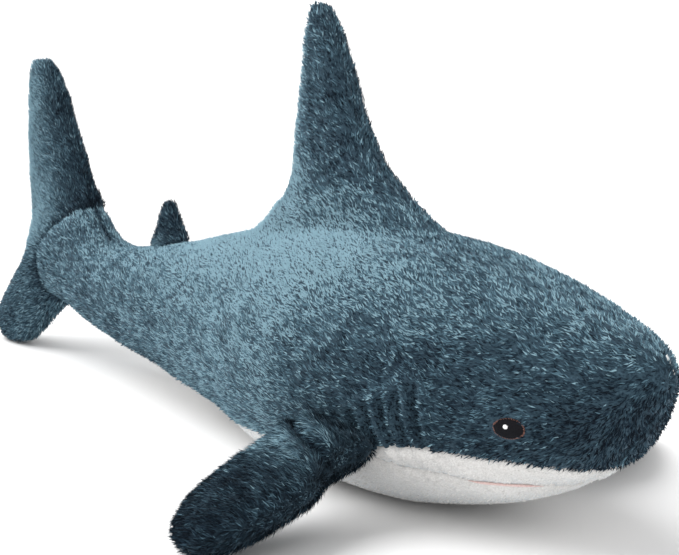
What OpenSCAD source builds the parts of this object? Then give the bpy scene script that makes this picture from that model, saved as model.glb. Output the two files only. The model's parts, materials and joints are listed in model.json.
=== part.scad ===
// Plush shark lying on its belly: nose towards +X, back up, its right side towards -Y.
// The origin is on the floor, under the middle of the whole toy. Millimetres.

/* [Body] */
// Nose tip to the tips of the tail fin
length = 1000; // [800:10:1200]
// Widest part of the body, at the chest
body_width = 206; // [170:2:240]
// Height of the back above the floor at the chest
body_height = 194; // [165:1:225]
// Height of the nose tip above the floor
nose_height = 128; // [115:1:140]

/* [Fins] */
// Height of the dorsal fin's tip above the floor
dorsal_tip = 356; // [300:2:400]
// Height of the rear dorsal fin's tip above the floor
rear_dorsal_tip = 172; // [164:1:185]
// Height of the tail fin's upper tip above the floor
tail_tip = 286; // [250:2:320]
// Sideways lean of the soft upright fins, per unit of height
fin_lean = 0.18; // [0:0.02:0.2]
// Length of a pectoral fin beyond its hinge line
pectoral_length = 124; // [100:2:150]
// Half the chord of a pectoral fin
pectoral_half_chord = 43; // [38:1:50]
// Droop of a pectoral fin below level, in degrees
pectoral_droop = 20.5; // [16:0.5:24]

/* [Cloth] */
// Thickness of the plush cloth, backing and flattened pile together
skin = 3; // [2:0.5:4]
// Gap left between the cloth and the fibre filling
loft_gap = 1.5; // [1.2:0.1:2.5]
// Half the gap left between two panels along their seam
seam_gap = 0.4; // [0.3:0.05:0.5]

/* [Eyes] */
// Length of an embroidered eye, ring included
eye_length = 24; // [18:1:30]
// Height of an embroidered eye, ring included
eye_height = 15; // [11:1:20]

/* [Joints] */
// Radius of the round face between the trunk and the tail stock
bend_radius = 56; // [50:1:57]
// Clearance between bodies that move
clearance = 1.2; // [1:0.1:2]

/* [Hidden] */

RIGHT = -1;
LEFT = 1;
BLUE = [0.29, 0.41, 0.49];
BLUE_DARK = [0.19, 0.28, 0.36];
WHITE = [0.86, 0.85, 0.84];
PINK = [0.84, 0.62, 0.62];
FIBRE = [0.95, 0.95, 0.93];
BLACK = [0.05, 0.05, 0.06];
BROWN = [0.33, 0.2, 0.15];

// Sections of the body, tail to nose:
// [place along the length, half width, top, bottom], as shares of length, width and height.
SECTIONS = [
  [-0.375, 0.20, 0.54, 0.35],
  [-0.25, 0.36, 0.61, 0.22],
  [-0.12, 0.53, 0.72, 0.14],
  [0.01, 0.68, 0.87, 0.07],
  [0.10, 0.89, 0.94, -0.004],
  [0.18, 1.00, 0.99, -0.012],
  [0.25, 0.99, 1.00, -0.006],
  [0.33, 0.84, 0.965, 0.07],
  [0.40, 0.63, 0.90, 0.20],
  [0.455, 0.38, 0.84, 0.40],
  [0.50, 0.20, 0.84, 0.61]
];
// Height of the blue and white seam: [place along the length, share of the body height].
SEAM = [
  [-0.33, 0.295], [-0.24, 0.26], [-0.10, 0.22], [0.10, 0.20], [0.29, 0.30], [0.325, 0.335], [0.5, 0.335]
];
// Dorsal fin: [share of its height, leading edge, trailing edge, half thickness].
DORSAL = [
  [0, 0.270, 0.012, 24], [0.1, 0.230, 0.042, 22], [0.25, 0.186, 0.051, 19], [0.45, 0.150, 0.050, 16],
  [0.7, 0.120, 0.048, 13], [0.9, 0.089, 0.045, 10], [1, 0.064, 0.049, 5]
];
REAR_DORSAL = [
  [0, -0.113, -0.183, 8], [0.3, -0.122, -0.172, 7], [0.75, -0.138, -0.167, 6], [1, -0.147, -0.162, 3]
];
// Tail fin: [share of its height, leading edge, trailing edge, half thickness].
TAIL_FIN = [
  [0, -0.437, -0.462, 5], [0.02, -0.412, -0.484, 11], [0.08, -0.385, -0.496, 14], [0.17, -0.348, -0.478, 16],
  [0.2, -0.323, -0.470, 17], [0.30, -0.323, -0.443, 17], [0.42, -0.323, -0.438, 17],
  [0.43, -0.282, -0.439, 16], [0.5, -0.290, -0.446, 15], [0.62, -0.322, -0.462, 14],
  [0.74, -0.355, -0.478, 13], [0.88, -0.394, -0.492, 12],
  [0.96, -0.422, -0.500, 10], [1, -0.450, -0.491, 5]
];

nose_x = length / 2;
nose_round = 0.06 * length; // length of the rounded nose cap
nose_gap = 0.02; // the cloth stops this far short of the nose's pole
fullness = 0.95; // 1 gives elliptical sections, less gives fuller ones
widest_share = 0.42; // height of the widest point within a section
lip_height = 0.237 * body_height; // height of the seam under the lip
lip_back = 0.266 * length; // the lip panels start here
lip_rise = 0.05 * length; // stretch over which they widen
mouth_back = 0.336 * length; // corner of the mouth
mouth_rise = 0.03 * length;
mouth_gap = 1.5; // half the mouth's opening
bend_x = -0.07 * length; // place of the tail stock's bend
bend_room = 25; // the trunk's rim is cut back this far, so that the tail stock can swing
stock_end = -0.321 * length; // rear end of the tail stock
tail_lean_z = 0.35 * tail_tip; // height at which the leaning tail fin crosses the middle
dorsal_lean_z = 0.98 * body_height;
floor_gap = 0.3; // the fins just clear the floor
meeting_gap = 0.02; // height left at the pointed ends of the white panels

pectoral_x = 0.28 * length; // middle of a pectoral fin at its hinge line
pectoral_round = 17; // radius of a pectoral fin's round root edge
pectoral_tip_round = 13; // half thickness at its tip
pectoral_y = body_width / 2 + pectoral_round + 2; // hinge line of a pectoral fin
pectoral_z = floor_gap + pectoral_tip_round + pectoral_length * sin(pectoral_droop);
// How far a pectoral fin's middle leads its root, per unit of span. They flop: the left one lies swept back.
right_pectoral_sweep = 0.13;
left_pectoral_sweep = -0.6;
pectoral_taper = 3; // higher keeps the fin broad for longer
tip_share = 0.985; // the outermost row of cloth

fill_share = 0.8; // fillings of the fins, as a share of the space inside the cloth
fill_margin = 0.06; // bare margin at their edges, as a share of the chord and the span

eye_x = 0.412 * length;
eye_z = 0.475 * body_height;
eye_tilt = 12; // the eye's front end is this many degrees lower
eye_off = 0.5; // the flat stitching's clearance over the domed cloth
eye_thick = 1.4;
ring_width = 2; // width of the ring round the pupil
highlight = 4.6; // diameter of the white highlight

thread = 1.4; // width of a stitched line
thread_over = 0.4; // stitches lie this far over the cloth
gill_x = 0.293 * length; // rearmost gill tuck, at its foot
gill_step = 0.0132 * length;
GILLS = 5;
gill_foot = 0.30 * body_height;
gill_foot_rise = 0.012 * body_height; // each further tuck starts this much higher
gill_height = 0.115 * body_height;
gill_height_rise = 0.022 * body_height;
gill_rake = 0.0075 * length; // the tucks' upper ends lie this far back
STITCHES = 8;
stitch_back = -0.27 * length;
stitch_step = 0.009 * length;
stitch_half = 4.5;
label_x = -0.2 * length;
LABEL = [32, 1, 24]; // along the seam, thick, hanging down
label_tilt = 40; // it stands out this many degrees

// ---- Functions -----------------------------------------------------------------------

function clamp(v, low, high) = min(max(v, low), high);
function mix(a, b, f) = a + f * (b - a);
function steps(n) = [for (i = [0 : n]) i / n];
function power(v, p) = sign(v) * pow(abs(v), p);

// Smooth curve through column c of the table T, whose first column rises.
function span_of(T, x, i = 0) = i >= len(T) - 2 || x <= T[i + 1][0] ? i : span_of(T, x, i + 1);
function slope_at(T, i, c) =
  let (a = max(i - 1, 0), b = min(i + 1, len(T) - 1)) (T[b][c] - T[a][c]) / (T[b][0] - T[a][0]);
function curve(T, x, c) =
  let (i = span_of(T, x), h = T[i + 1][0] - T[i][0], u = clamp((x - T[i][0]) / h, 0, 1))
    T[i][c] * (2 * u ^ 3 - 3 * u ^ 2 + 1) + h * slope_at(T, i, c) * (u ^ 3 - 2 * u ^ 2 + u)
    + T[i + 1][c] * (3 * u ^ 2 - 2 * u ^ 3) + h * slope_at(T, i + 1, c) * (u ^ 3 - u ^ 2);
// The same table read along straight lines, for outlines with corners.
function line(T, v, c) =
  let (i = span_of(T, v)) mix(T[i][c], T[i + 1][c], clamp((v - T[i][0]) / (T[i + 1][0] - T[i][0]), 0, 1));

// The body's half width, top and bottom at x, closed by a round nose.
function nose_cap(x) = sqrt(max(0, 1 - (max(0, x - nose_x + nose_round) / nose_round) ^ 2));
function half_width(x) = curve(SECTIONS, x / length, 1) * body_width / 2 * nose_cap(x);
function top(x) = mix(nose_height, curve(SECTIONS, x / length, 2) * body_height, nose_cap(x));
function bottom(x) = mix(nose_height, curve(SECTIONS, x / length, 3) * body_height, nose_cap(x));
function widest(x) = mix(bottom(x), top(x), widest_share);
function seam_height(x) = curve(SEAM, x / length, 1) * body_height;
function ease(u) = let (c = clamp(u, 0, 1)) c * c * (3 - 2 * c);
function lip_low(x) = mix(seam_height(x), lip_height, ease((x - lip_back) / lip_rise));
function mouth(x) = mouth_gap * ease((x - mouth_back) / mouth_rise);

// A point of the body's cloth, moved inwards by inset. Angle 0 is the flank, 90 the back.
// The belly is pressed flat where it rests on the floor.
function body_point(x, angle, inset) =
  let (
    xi = x - max(0, clamp((x - nose_x + nose_round) / nose_round, 0, 1) * inset),
    m = widest(xi),
    rise = sin(angle) >= 0 ? top(xi) - inset - m : m - bottom(xi) - inset,
    y = max(0.3, half_width(xi) - inset) * power(cos(angle), fullness),
    z = m + max(0.3, rise) * power(sin(angle), fullness)
  ) [xi, y, max(z, inset)];
function angle_at(x, z) =
  let (m = widest(x), rise = z >= m ? top(x) - m : m - bottom(x))
    sign(z - m) * asin(pow(clamp(abs(z - m) / max(rise, 0.01), 0, 1), 1 / fullness));
// Height of the back at x and y.
function back_at(x, y) =
  let (c = pow(clamp(abs(y) / half_width(x), 0, 1), 1 / fullness))
    widest(x) + (top(x) - widest(x)) * power(sqrt(1 - c ^ 2), fullness);
// Angle at which the cloth stops short of the middle seam, above or below.
function ridge_angle(x) = acos(pow(clamp(seam_gap / max(half_width(x), seam_gap), 0, 1), 1 / fullness));
// Where f changes sign between a and b.
function crossing(f, a, b, n = 24) =
  n == 0 ? (a + b) / 2
  : let (m = (a + b) / 2) f(m) * f(a) > 0 ? crossing(f, m, b, n - 1) : crossing(f, a, m, n - 1);

function side(p, s) = [p[0], s * p[1], p[2]];

// ---- Solids from grids of points -----------------------------------------------------

// Faces of a closed shell between two grids of the same size, listed one after the other.
function shell_faces(rows, cols) =
  let (n = rows * cols, at = function (i, j, k) k * n + i * cols + j)
    [
      for (i = [0 : rows - 2]) for (j = [0 : cols - 2]) each [
        [at(i, j, 0), at(i + 1, j, 0), at(i + 1, j + 1, 0)],
        [at(i, j, 0), at(i + 1, j + 1, 0), at(i, j + 1, 0)],
        [at(i, j, 1), at(i + 1, j + 1, 1), at(i + 1, j, 1)],
        [at(i, j, 1), at(i, j + 1, 1), at(i + 1, j + 1, 1)]
      ],
      for (i = [0 : rows - 2]) each [
        [at(i, 0, 0), at(i, 0, 1), at(i + 1, 0, 1)],
        [at(i, 0, 0), at(i + 1, 0, 1), at(i + 1, 0, 0)],
        [at(i, cols - 1, 0), at(i + 1, cols - 1, 1), at(i, cols - 1, 1)],
        [at(i, cols - 1, 0), at(i + 1, cols - 1, 0), at(i + 1, cols - 1, 1)]
      ],
      for (j = [0 : cols - 2]) each [
        [at(0, j, 0), at(0, j + 1, 0), at(0, j + 1, 1)],
        [at(0, j, 0), at(0, j + 1, 1), at(0, j, 1)],
        [at(rows - 1, j, 0), at(rows - 1, j + 1, 1), at(rows - 1, j + 1, 0)],
        [at(rows - 1, j, 0), at(rows - 1, j, 1), at(rows - 1, j + 1, 1)]
      ]
    ];

// A closed shell between an outer and an inner grid. flip turns its faces round.
module shell(outer, inner, flip) {
  faces = shell_faces(len(outer), len(outer[0]));
  polyhedron(
    points = [for (r = outer) each r, for (r = inner) each r],
    faces = flip ? [for (f = faces) [f[2], f[1], f[0]]] : faces
  );
}

function middle(ring) =
  [for (c = [0 : 2]) [for (p = ring) p[c]] * [for (p = ring) 1] / len(ring)];

// A closed solid through rings of equal size, with a fan to the middle of each end ring.
module tube(rings) {
  count = len(rings);
  n = len(rings[0]);
  polyhedron(
    points = [for (r = rings) each r, middle(rings[0]), middle(rings[count - 1])],
    faces = [
      for (i = [0 : count - 2]) for (j = [0 : n - 1]) each [
        [i * n + j, i * n + (j + 1) % n, (i + 1) * n + (j + 1) % n],
        [i * n + j, (i + 1) * n + (j + 1) % n, (i + 1) * n + j]
      ],
      for (j = [0 : n - 1]) [count * n, (j + 1) % n, j],
      for (j = [0 : n - 1]) [count * n + 1, (count - 1) * n + j, (count - 1) * n + (j + 1) % n]
    ]
  );
}

// ---- Body panels ---------------------------------------------------------------------

// Ends of the trunk and of the tail stock on the round face between them, at half width y.
function trunk_end(y) =
  bend_x + max(bend_room, sqrt(max(0, (bend_radius + clearance) ^ 2 - y ^ 2)));
function stock_front(y) = bend_x + sqrt(max(0, bend_radius ^ 2 - y ^ 2));

TRUNK_ROWS = 26; // rows of cloth along the trunk
BELLY_ROWS = 24;

// Column g of a panel reaches from the angle low(x) to high(x).
function panel_point(x, low, high, g, inset) = body_point(x, mix(low(x), high(x), g), inset);
// The end of column g on the round face.
function cut_x(end, low, high, g, inset, n = 6) =
  n == 0 ? bend_x
  : end(panel_point(cut_x(end, low, high, g, inset, n - 1), low, high, g, inset)[1]);
// Rows from the round face to the front, closer together near the nose.
function trunk_grid(rows, cols, front, low, high, inset) =
  [for (f = steps(rows)) [for (g = steps(cols))
    let (x = cut_x(function (y) trunk_end(y), low, high, g, inset))
      panel_point(mix(x, front, sin(90 * f)), low, high, g, inset)]];
// Rows from the rear end to the round face.
function tail_grid(rows, cols, back, low, high, inset) =
  [for (f = steps(rows)) [for (g = steps(cols))
    let (x = cut_x(function (y) stock_front(y), low, high, g, inset))
      panel_point(mix(back, x, f), low, high, g, inset)]];
function plain_grid(rows, cols, back, front, low, high, inset) =
  [for (f = steps(rows)) [for (g = steps(cols)) panel_point(mix(back, front, f), low, high, g, inset)]];
function on_side(grid, s) = [for (r = grid) [for (p = r) side(p, s)]];
// Both sides of a panel that crosses the middle of the belly.
function both_sides(grid) =
  [for (r = grid) [for (k = [len(r) - 1 : -1 : 1]) side(r[k], RIGHT), each r]];

flank_low = function (x) max(angle_at(x, seam_height(x) + seam_gap), -ridge_angle(x));
flank_high = function (x) ridge_angle(x);
belly_low = function (x) -90;
belly_top = function (x) lip_low(x) - seam_gap - mouth(x);
belly_high = function (x) angle_at(x, belly_top(x));
lip_bottom = function (x) max(angle_at(x, lip_low(x) + seam_gap + mouth(x)), -ridge_angle(x));
lip_high = function (x) angle_at(x, seam_height(x) - seam_gap);
lining_low = function (x) angle_at(x, lip_low(x) - mouth(x) + floor_gap);
lining_high = function (x) angle_at(x, lip_low(x) + mouth(x) - floor_gap);
// The white panels end in points, where the body's underside rises past their upper seams.
lip_front = crossing(
  function (x) seam_height(x) - seam_gap - meeting_gap - bottom(x), 0.36 * length, 0.49 * length
);
belly_front = crossing(function (x) belly_top(x) - meeting_gap - bottom(x), 0.36 * length, 0.49 * length);
tail_belly_back = max(
  stock_end,
  crossing(function (x) belly_top(x) - meeting_gap - bottom(x), -0.375 * length, -0.25 * length)
);

module side_panel(s) {
  front = nose_x - nose_gap;
  color(BLUE)
    shell(
      on_side(trunk_grid(TRUNK_ROWS, 10, front, flank_low, flank_high, 0), s),
      on_side(trunk_grid(TRUNK_ROWS, 10, front, flank_low, flank_high, skin), s),
      s == RIGHT
    );
}

module tail_panel(s) {
  color(BLUE)
    shell(
      on_side(tail_grid(10, 8, stock_end, flank_low, flank_high, 0), s),
      on_side(tail_grid(10, 8, stock_end, flank_low, flank_high, skin), s),
      s == RIGHT
    );
}

module belly_panel() {
  color(WHITE)
    shell(
      both_sides(trunk_grid(BELLY_ROWS, 6, belly_front, belly_low, belly_high, 0)),
      both_sides(trunk_grid(BELLY_ROWS, 6, belly_front, belly_low, belly_high, skin)),
      false
    );
}

module tail_belly_panel() {
  color(WHITE)
    shell(
      both_sides(tail_grid(10, 4, tail_belly_back, belly_low, belly_high, 0)),
      both_sides(tail_grid(10, 4, tail_belly_back, belly_low, belly_high, skin)),
      false
    );
}

module lip_panel(s) {
  back = lip_back + 0.4 * lip_rise;
  color(WHITE)
    shell(
      on_side(plain_grid(20, 3, back, lip_front, lip_bottom, lip_high, 0), s),
      on_side(plain_grid(20, 3, back, lip_front, lip_bottom, lip_high, skin), s),
      s == RIGHT
    );
}

module mouth_lining() {
  back = mouth_back + mouth_rise;
  front = back + 0.04 * length;
  color(PINK)
    for (s = [RIGHT, LEFT])
      shell(
        on_side(plain_grid(8, 1, back, front, lining_low, lining_high, skin / 4), s),
        on_side(plain_grid(8, 1, back, front, lining_low, lining_high, skin), s),
        s == RIGHT
      );
}

// ---- Fibre filling of the body -------------------------------------------------------

RING = 36; // points round a filling
CAP_SHARES = [for (k = [1 : 8]) sin(10 * k)]; // rings of a filling's end on the round face
fill_inset = skin + loft_gap;
whole_low = function (x) -90;
whole_high = function (x) 90;
// A ring of points, up the right side and down the left; x_of gives the place at share g.
function ring_at(x_of) =
  [for (j = [0 : RING - 1]) let (g = 2 * j / RING, up = g <= 1, h = up ? g : 2 - g)
    side(panel_point(x_of(h), whole_low, whole_high, h, fill_inset), up ? RIGHT : LEFT)];
// A ring shrunk towards its middle, on the round face.
function shrunk(ring, f, end) =
  [for (p = ring) [end(abs(f * p[1])), f * p[1], mix(middle(ring)[2], p[2], f)]];

module trunk_filling() {
  end = function (y) trunk_end(y);
  cut = function (g) cut_x(end, whole_low, whole_high, g, fill_inset);
  rim = ring_at(cut);
  color(FIBRE)
    tube([
      for (f = CAP_SHARES) shrunk(rim, f, end),
      for (f = steps(TRUNK_ROWS)) ring_at(function (g) mix(cut(g), nose_x - nose_gap, sin(90 * f)))
    ]);
}

module tail_stock_filling() {
  end = function (y) stock_front(y);
  cut = function (g) cut_x(end, whole_low, whole_high, g, fill_inset);
  rim = ring_at(cut);
  color(FIBRE)
    tube([
      for (f = steps(10)) ring_at(function (g) mix(stock_end, cut(g), f)),
      for (k = [len(CAP_SHARES) - 1 : -1 : 0]) shrunk(rim, CAP_SHARES[k], end)
    ]);
}

// ---- Fins ----------------------------------------------------------------------------

// How far the cloth of a fin bulges at share c of the chord.
function bulge(thick, c) = max(0, thick - skin) * (1 - abs(2 * c - 1) ^ 2.4) ^ 0.6;

// One half of a fin. outline(v) gives [front edge, rear edge, half thickness] at share v of the
// span; place(x, v, t) gives the point at x, v and t off the fin's middle plane.
module fin_half(rows, cols, outline, place, flip) {
  grid = function (over)
    [for (v = rows) [for (c = steps(cols))
      let (o = outline(v)) place(mix(o[1], o[0], c), v, seam_gap + over + bulge(o[2], c))]];
  shell(grid(skin), grid(0), flip);
}

module fin_filling(rows, cols, outline, place) {
  grid = function (s)
    [for (v = rows) [for (c = steps(cols))
      let (o = outline(v), k = mix(fill_margin, 1 - fill_margin, c))
        place(mix(o[1], o[0], k), v, s * fill_share * bulge(o[2], k))]];
  color(FIBRE) shell(grid(-1), grid(1), false);
}

function outline_of(T) =
  function (v) [line(T, v, 1) * length, line(T, v, 2) * length, line(T, v, 3)];
// Leaning upright fins; the dorsal fins follow the back at their foot.
function lean(y, z, z0) = y + fin_lean * (z - z0);
function back_place(s, tip) =
  function (x, v, t) let (
    foot = back_at(x, abs(lean(s * t, top(x), dorsal_lean_z))) + thread_over,
    z = mix(foot, tip, v)
  ) [x, lean(s * t, z, dorsal_lean_z), z];
// The rear dorsal fin leans from its own foot, which is lower.
function rear_place(s, tip) =
  function (x, v, t) let (
    foot = back_at(x, abs(t)) + thread_over,
    z = mix(foot, tip, v)
  ) [x, lean(s * t, z, foot), z];
function tail_place(s) =
  function (x, v, t) let (z = mix(floor_gap, tail_tip, v)) [x, lean(s * t, z, tail_lean_z), z];

DORSAL_ROWS = [0, 0.06, 0.14, 0.25, 0.36, 0.48, 0.6, 0.72, 0.84, 0.94, 1];
REAR_ROWS = [0, 0.3, 0.6, 0.85, 1];
TAIL_ROWS = [
  0, 0.02, 0.08, 0.13, 0.17, 0.2, 0.25, 0.3, 0.36, 0.42,
  0.43, 0.5, 0.56, 0.62, 0.68, 0.74, 0.81, 0.88, 0.96, 1
];

// The filling has the cloth's own rows, all but the outermost.
function inner_rows(rows) = [for (i = [1 : len(rows) - 2]) rows[i]];

module dorsal_panel(s) {
  color(BLUE) fin_half(DORSAL_ROWS, 10, outline_of(DORSAL), back_place(s, dorsal_tip), s == LEFT);
}

module dorsal_filling() {
  fin_filling(inner_rows(DORSAL_ROWS), 10, outline_of(DORSAL), back_place(1, dorsal_tip));
}

module rear_dorsal_panel(s) {
  color(BLUE_DARK)
    fin_half(REAR_ROWS, 6, outline_of(REAR_DORSAL), rear_place(s, rear_dorsal_tip), s == LEFT);
}

module tail_fin_panel(s) {
  color(BLUE_DARK) fin_half(TAIL_ROWS, 10, outline_of(TAIL_FIN), tail_place(s), s == LEFT);
}

module tail_fin_filling() {
  fin_filling(inner_rows(TAIL_ROWS), 10, outline_of(TAIL_FIN), tail_place(1));
}

// A pectoral fin: v below 0 is its round root edge, which turns about the hinge line.
function pectoral_outline(v, s) =
  let (
    d = max(v, 0) * pectoral_length,
    middle_x = pectoral_x + (s == RIGHT ? right_pectoral_sweep : left_pectoral_sweep) * d,
    half = pectoral_half_chord * sqrt(1 - max(v, 0) ^ pectoral_taper)
  ) [
    middle_x + half, middle_x - half,
    v < 0 ? pectoral_round * sqrt(max(0, 1 - v ^ 2))
      : mix(pectoral_round, pectoral_tip_round, v) * (1 - v ^ 12) // thin only at the very tip
  ];
function pectoral_place(s, up) =
  function (x, v, t) let (d = v < 0 ? v * pectoral_round : v * pectoral_length) [
    x,
    s * (pectoral_y + d * cos(pectoral_droop) + up * t * sin(pectoral_droop)),
    pectoral_z - d * sin(pectoral_droop) + up * t * cos(pectoral_droop)
  ];
PECTORAL_ROWS = [
  -1, -0.92, -0.7, -0.4, 0, 0.15, 0.3, 0.45, 0.58, 0.7, 0.8, 0.88, 0.94, tip_share
];

module pectoral_panel(s, up) {
  color(BLUE_DARK)
    fin_half(PECTORAL_ROWS, 8, function (v) pectoral_outline(v, s), pectoral_place(s, up), s * up == -1);
}

module pectoral_filling(s) {
  rows = [-0.8, -0.4, 0, 0.2, 0.4, 0.6, 0.75, 0.88, 0.94];
  color(FIBRE)
    fin_filling(rows, 8, function (v) pectoral_outline(v, s), pectoral_place(s, -s));
}

// ---- Embroidery and trim -------------------------------------------------------------

// Places its children on the cloth at the eye: X forward and down the slope of the eye, Z outwards.
module at_eye(s, lift) {
  a = angle_at(eye_x, eye_z);
  p = body_point(eye_x, a, 0);
  along = body_point(eye_x + 1, a, 0) - body_point(eye_x - 1, a, 0);
  over = body_point(eye_x, a + 1, 0) - body_point(eye_x, a - 1, 0);
  n = cross(over, along) / norm(cross(over, along));
  u = along / norm(along);
  w = cross(n, u);
  multmatrix([[u[0], w[0], n[0], p[0]], [u[1], w[1], n[1], p[1]], [u[2], w[2], n[2], p[2]], [0, 0, 0, 1]])
    rotate([0, 0, eye_tilt])
      translate([0, 0, lift])
        children();
}

module on_right_or_left(s) {
  if (s == LEFT) children();
  else mirror([0, 1, 0]) children();
}

module eye_disc(s, lift, size) {
  on_right_or_left(s)
    at_eye(s, lift)
      linear_extrude(eye_thick)
        scale([1, size[1] / size[0]])
          circle(d = size[0], $fn = 48);
}

module eye_pupil(s) {
  color(BLACK)
    eye_disc(s, eye_off, [eye_length - 2 * ring_width - 1, eye_height - 2 * ring_width - 1]);
}

module eye_ring(s) {
  color(BROWN)
    difference() {
      eye_disc(s, eye_off, [eye_length, eye_height]);
      on_right_or_left(s)
        at_eye(s, -eye_thick)
          linear_extrude(eye_thick * 4)
            scale([1, (eye_height - 2 * ring_width) / (eye_length - 2 * ring_width)])
              circle(d = eye_length - 2 * ring_width, $fn = 48);
    }
}

module eye_highlight(s) {
  color(WHITE) eye_disc(s, eye_off + eye_thick + floor_gap, [highlight, highlight]);
}

// A stitched line on the cloth between two places given as [x, z].
module stitched_line(a, b, s) {
  grid = function (inset)
    [for (f = steps(5)) [for (w = [-thread / 2, thread / 2])
      let (x = mix(a[0], b[0], f) + w) body_point(x, angle_at(x, mix(a[1], b[1], f)), inset)]];
  shell(on_side(grid(-thread_over - thread), s), on_side(grid(-thread_over), s), s == LEFT);
}

module gill_stitches(s) {
  color(BLUE_DARK)
    for (i = [0 : GILLS - 1]) {
      foot = gill_foot + i * gill_foot_rise;
      x = gill_x + i * gill_step;
      stitched_line([x, foot], [x - gill_rake, foot + gill_height + i * gill_height_rise], s);
    }
}

module belly_closing_stitches() {
  low = function (x) -90;
  color(WHITE)
    for (i = [0 : STITCHES - 1]) {
      x = stitch_back + i * stitch_step;
      high = function (at) -acos(clamp(stitch_half / half_width(at), 0, 1));
      grid = function (inset) both_sides(plain_grid(1, 3, x, x + thread, low, high, inset));
      shell(grid(-thread_over - thread), grid(-thread_over), false);
    }
}

module care_label() {
  p = body_point(label_x, angle_at(label_x, seam_height(label_x)), -2 * thread);
  color(WHITE)
    translate([label_x, p[1], p[2]])
      rotate([label_tilt, 0, 0])
        translate([-LABEL[0] / 2, 0, -LABEL[2]])
          cube(LABEL);
}

// ---- Sub-parts as nodes --------------------------------------------------------------

module right_side_panel() { side_panel(RIGHT); }
module left_side_panel() { side_panel(LEFT); }
module right_tail_panel() { tail_panel(RIGHT); }
module left_tail_panel() { tail_panel(LEFT); }
module right_dorsal_panel() { dorsal_panel(RIGHT); }
module left_dorsal_panel() { dorsal_panel(LEFT); }
module right_lip_panel() { lip_panel(RIGHT); }
module left_lip_panel() { lip_panel(LEFT); }
module right_rear_dorsal_panel() { rear_dorsal_panel(RIGHT); }
module left_rear_dorsal_panel() { rear_dorsal_panel(LEFT); }
module right_tail_fin_panel() { tail_fin_panel(RIGHT); }
module left_tail_fin_panel() { tail_fin_panel(LEFT); }
module right_pectoral_upper_panel() { pectoral_panel(RIGHT, 1); }
module right_pectoral_lower_panel() { pectoral_panel(RIGHT, -1); }
module right_pectoral_filling() { pectoral_filling(RIGHT); }
module left_pectoral_upper_panel() { pectoral_panel(LEFT, 1); }
module left_pectoral_lower_panel() { pectoral_panel(LEFT, -1); }
module left_pectoral_filling() { pectoral_filling(LEFT); }
module right_eye_pupil() { eye_pupil(RIGHT); }
module right_eye_ring() { eye_ring(RIGHT); }
module right_eye_highlight() { eye_highlight(RIGHT); }
module left_eye_pupil() { eye_pupil(LEFT); }
module left_eye_ring() { eye_ring(LEFT); }
module left_eye_highlight() { eye_highlight(LEFT); }
module right_gill_stitches() { gill_stitches(RIGHT); }
module left_gill_stitches() { gill_stitches(LEFT); }

right_side_panel();
left_side_panel();
right_tail_panel();
left_tail_panel();
right_dorsal_panel();
left_dorsal_panel();
belly_panel();
tail_belly_panel();
right_lip_panel();
left_lip_panel();
mouth_lining();
trunk_filling();
dorsal_filling();
tail_stock_filling();
right_rear_dorsal_panel();
left_rear_dorsal_panel();
right_tail_fin_panel();
left_tail_fin_panel();
tail_fin_filling();
right_pectoral_upper_panel();
right_pectoral_lower_panel();
right_pectoral_filling();
left_pectoral_upper_panel();
left_pectoral_lower_panel();
left_pectoral_filling();
right_eye_pupil();
right_eye_ring();
right_eye_highlight();
left_eye_pupil();
left_eye_ring();
left_eye_highlight();
right_gill_stitches();
left_gill_stitches();
belly_closing_stitches();
care_label();
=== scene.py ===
import json
import math

import bpy
import numpy as np
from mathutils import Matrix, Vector
from mathutils.bvhtree import BVHTree
from mathutils.kdtree import KDTree


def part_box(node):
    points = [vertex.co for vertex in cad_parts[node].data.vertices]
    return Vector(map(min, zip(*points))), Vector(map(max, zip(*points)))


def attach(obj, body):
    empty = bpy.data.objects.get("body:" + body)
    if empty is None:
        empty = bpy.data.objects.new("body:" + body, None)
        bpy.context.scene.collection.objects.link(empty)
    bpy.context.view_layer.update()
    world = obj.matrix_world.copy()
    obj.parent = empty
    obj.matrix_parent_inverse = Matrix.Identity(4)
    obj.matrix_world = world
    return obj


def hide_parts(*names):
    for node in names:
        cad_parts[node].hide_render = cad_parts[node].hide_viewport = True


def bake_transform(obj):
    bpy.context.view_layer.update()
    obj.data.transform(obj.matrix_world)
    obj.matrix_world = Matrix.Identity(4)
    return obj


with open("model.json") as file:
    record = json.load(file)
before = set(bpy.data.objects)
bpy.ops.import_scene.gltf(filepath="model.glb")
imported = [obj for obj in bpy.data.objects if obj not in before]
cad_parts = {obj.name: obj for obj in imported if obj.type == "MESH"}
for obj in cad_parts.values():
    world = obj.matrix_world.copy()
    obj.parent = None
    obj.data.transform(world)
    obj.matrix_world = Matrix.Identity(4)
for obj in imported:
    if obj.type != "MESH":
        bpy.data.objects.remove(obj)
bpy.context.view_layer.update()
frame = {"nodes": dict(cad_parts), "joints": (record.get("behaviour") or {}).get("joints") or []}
scene = bpy.context.scene

# Metres, in the frame of the CAD: nose +X, back +Z, the shark's left +Y.
MM = 0.001
SIDES = {"right": -1, "left": 1}
JOINTS = {j["name"]: j for j in frame["joints"]}
bend_x = JOINTS["tail_bend"]["pos_m"][0]
tail_hinge_x = JOINTS["tail_fin_swing"]["pos_m"][0]
tail_root_z = JOINTS["tail_fin_swing"]["pos_m"][2]
tail_axis = JOINTS["tail_fin_swing"]["axis"]
fin_lean = tail_axis[1] / tail_axis[2]
nose_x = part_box("left_side_panel")[1].x
stock_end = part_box("left_tail_panel")[0].x
back_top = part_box("left_side_panel")[1].z
VOXEL = 3.2 * MM
FIN_VOXEL = 2.8 * MM
CLOTH = 1.2 * MM  # backing of the plush
SIM_FRAMES = 20
TAIL_ZONE = -0.27  # behind this x the stock runs into the tail fin
GILL_ZONE = 0.26, 0.37  # from and to this x the sides have gill tucks
BEND_CREASES = 4


# ---- Camera, lights and floor ----

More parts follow.
